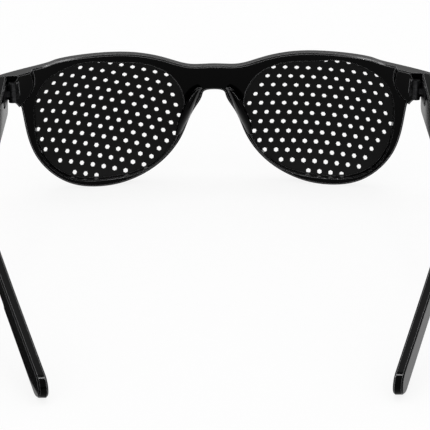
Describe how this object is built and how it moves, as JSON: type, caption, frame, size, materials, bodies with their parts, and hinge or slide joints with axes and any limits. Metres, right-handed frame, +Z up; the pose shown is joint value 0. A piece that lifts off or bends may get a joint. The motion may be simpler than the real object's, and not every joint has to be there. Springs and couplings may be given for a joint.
{
  "type": "pinhole glasses",
  "caption": "Full-rim glasses with curved opaque plates full of small round holes in place of lenses, moulded nose pads, and folding temples with paddle tips.",
  "frame": {"origin": "centre of the bounding box at the level of the table that the open glasses rest on", "axes": "+X to the wearer's right, +Y the way the wearer looks, +Z up; the temples run along -Y"},
  "size_m": [0.14, 0.156, 0.0469],
  "materials": {
    "frame_plastic": "gloss",
    "plate_plastic": "satin",
    "hinge_metal": "satin"
  },
  "bodies": {
    "front": {"frame_front": "frame_plastic", "right_pinhole_plate": "plate_plastic", "left_pinhole_plate": "plate_plastic", "right_front_leaf": "hinge_metal", "left_front_leaf": "hinge_metal", "right_hinge_screw": "hinge_metal", "left_hinge_screw": "hinge_metal"},
    "right_arm": {"right_temple": "frame_plastic", "right_temple_leaf": "hinge_metal"},
    "left_arm": {"left_temple": "frame_plastic", "left_temple_leaf": "hinge_metal"}
  },
  "joints": [
    {"name": "left_fold", "type": "hinge", "parent": "front", "child": "left_arm", "pos_m": [-0.0652, 0.0515, 0.0394], "axis": [0, 0, 1], "range_deg": [0, 84]},
    {"name": "right_fold", "type": "hinge", "parent": "front", "child": "right_arm", "pos_m": [0.0652, 0.0515, 0.0394], "axis": [0, 0, -1], "range_deg": [0, 80]}
  ]
}
